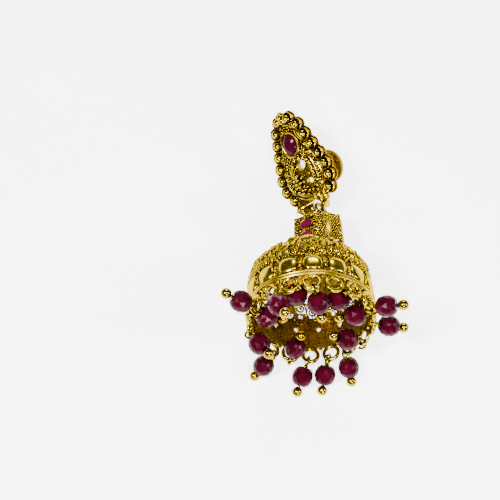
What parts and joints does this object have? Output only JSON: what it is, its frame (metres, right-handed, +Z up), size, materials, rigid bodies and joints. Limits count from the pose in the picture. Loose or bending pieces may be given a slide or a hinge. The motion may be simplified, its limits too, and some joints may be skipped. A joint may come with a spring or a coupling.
{
  "type": "jhumka earring",
  "caption": "Gold-coloured jhumka earring lying down: domed filigree bell with ruby glass drops, mango-shaped stud, screw-on back nut.",
  "frame": {"origin": "middle of the earring's box seen from above, at the height of the surface that it lies on", "axes": "+Z up, +Y from the bell's open mouth towards the stud's tip, +X to the right of the picture"},
  "size_m": [0.0346, 0.0554, 0.0275],
  "materials": {
    "gold": "polished gold plating",
    "ruby_glass": "polished, faceted"
  },
  "bodies": {
    "earring": {"bell": "gold", "stud": "gold", "head_pin_01": "gold", "head_pin_02": "gold", "head_pin_03": "gold", "head_pin_04": "gold", "head_pin_05": "gold", "head_pin_06": "gold", "head_pin_07": "gold", "head_pin_08": "gold", "head_pin_09": "gold", "head_pin_10": "gold", "head_pin_11": "gold", "head_pin_12": "gold", "head_pin_13": "gold", "head_pin_14": "gold", "head_pin_15": "gold", "head_pin_16": "gold", "crown_ruby_1": "ruby_glass", "crown_ruby_2": "ruby_glass", "crown_ruby_3": "ruby_glass", "crown_ruby_4": "ruby_glass", "stud_ruby": "ruby_glass", "bead_01": "ruby_glass", "bead_02": "ruby_glass", "bead_03": "ruby_glass", "bead_04": "ruby_glass", "bead_05": "ruby_glass", "bead_06": "ruby_glass", "bead_07": "ruby_glass", "bead_08": "ruby_glass", "bead_09": "ruby_glass", "bead_10": "ruby_glass", "bead_11": "ruby_glass", "bead_12": "ruby_glass", "bead_13": "ruby_glass", "bead_14": "ruby_glass", "bead_15": "ruby_glass", "bead_16": "ruby_glass"},
    "nut": {"screw_nut": "gold"}
  },
  "joints": [
    {"name": "nut_turn", "type": "hinge", "parent": "earring", "child": "nut", "pos_m": [0.00428, 0.02065, 0.00267], "axis": [-0.5744, -0.5022, 0.6465], "continuous": true}
  ]
}
